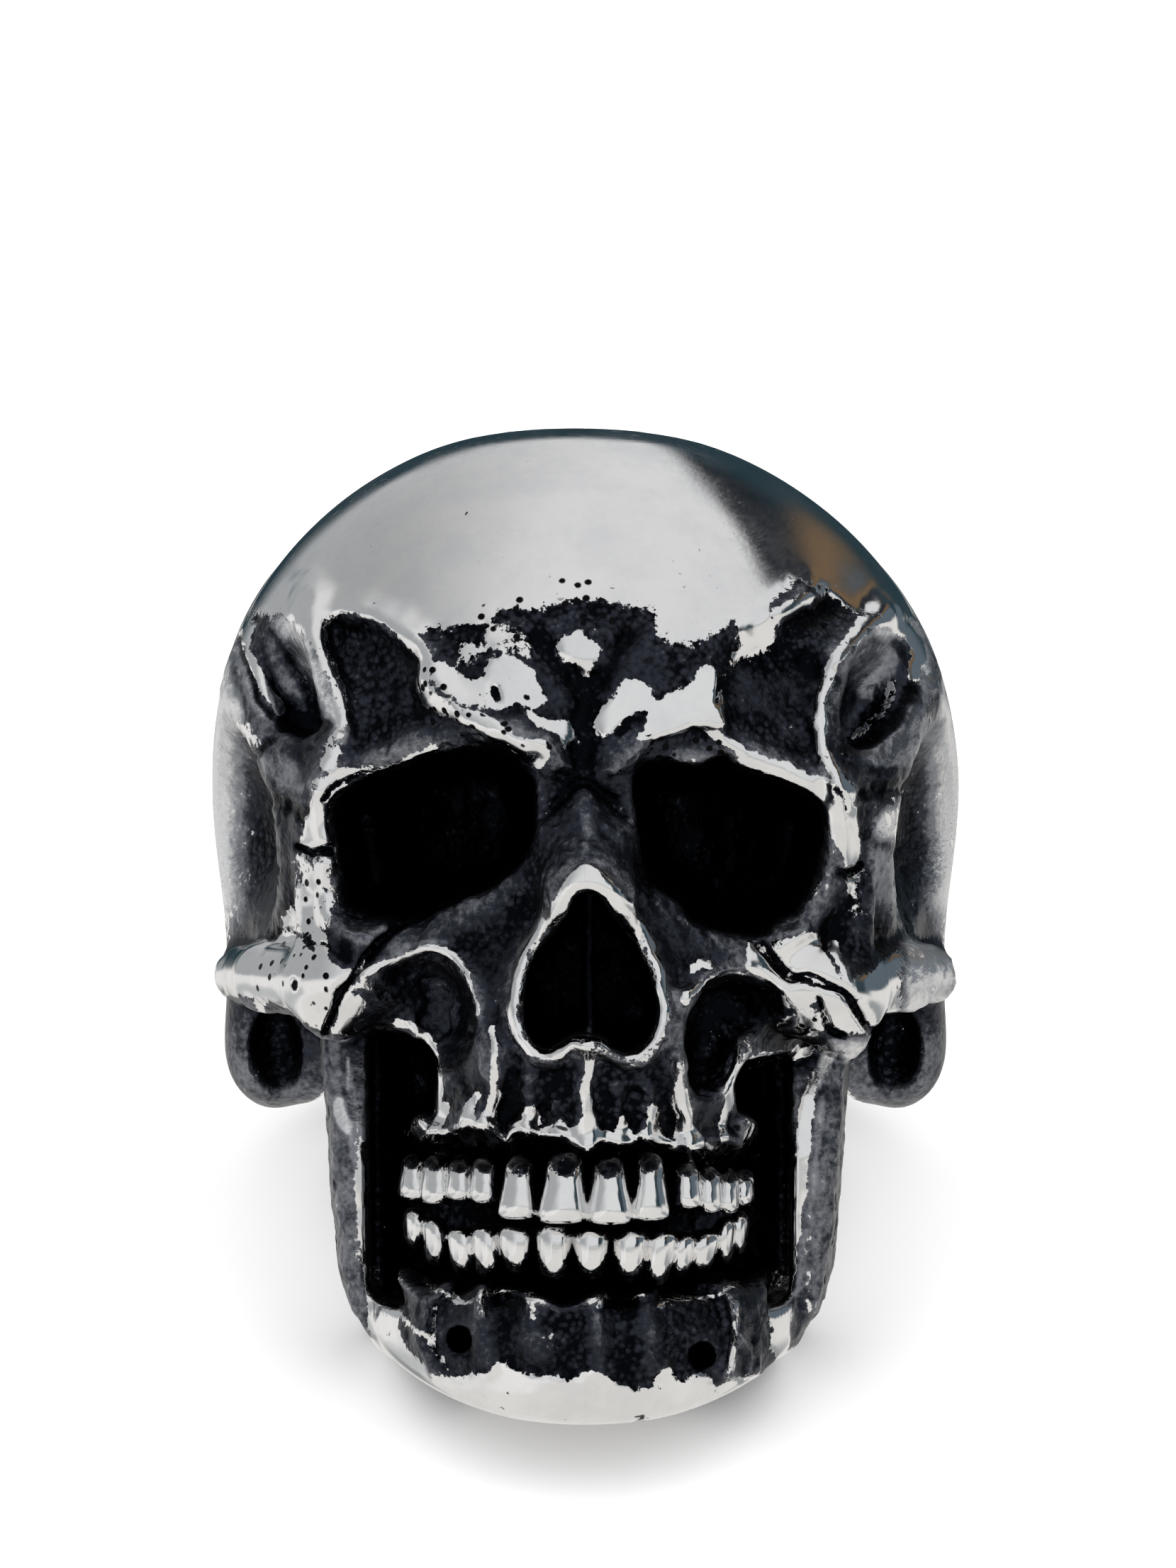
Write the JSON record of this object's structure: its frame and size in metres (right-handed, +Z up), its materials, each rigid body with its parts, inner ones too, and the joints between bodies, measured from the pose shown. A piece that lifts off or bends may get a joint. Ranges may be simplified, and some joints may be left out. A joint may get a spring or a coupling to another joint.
{
  "type": "skull ring",
  "caption": "Heavy cast finger ring shaped as a bared skull, with deep eyes, open nose, worn teeth, an undercut jaw and a broad crown that runs back into a plain round band.",
  "frame": {"origin": "centre of the bounding box at its base, where the ring rests on a table", "axes": "+X to the right of the face, +Y from the face to the back of the band, +Z up; the finger's axis leans back from +Z as the ring rests"},
  "size_m": [0.0266, 0.0388, 0.03],
  "materials": {
    "silver": "polished silver on the raised parts, black patina in the hollows"
  },
  "bodies": {
    "root": {"skull_ring": "silver"}
  },
  "joints": []
}
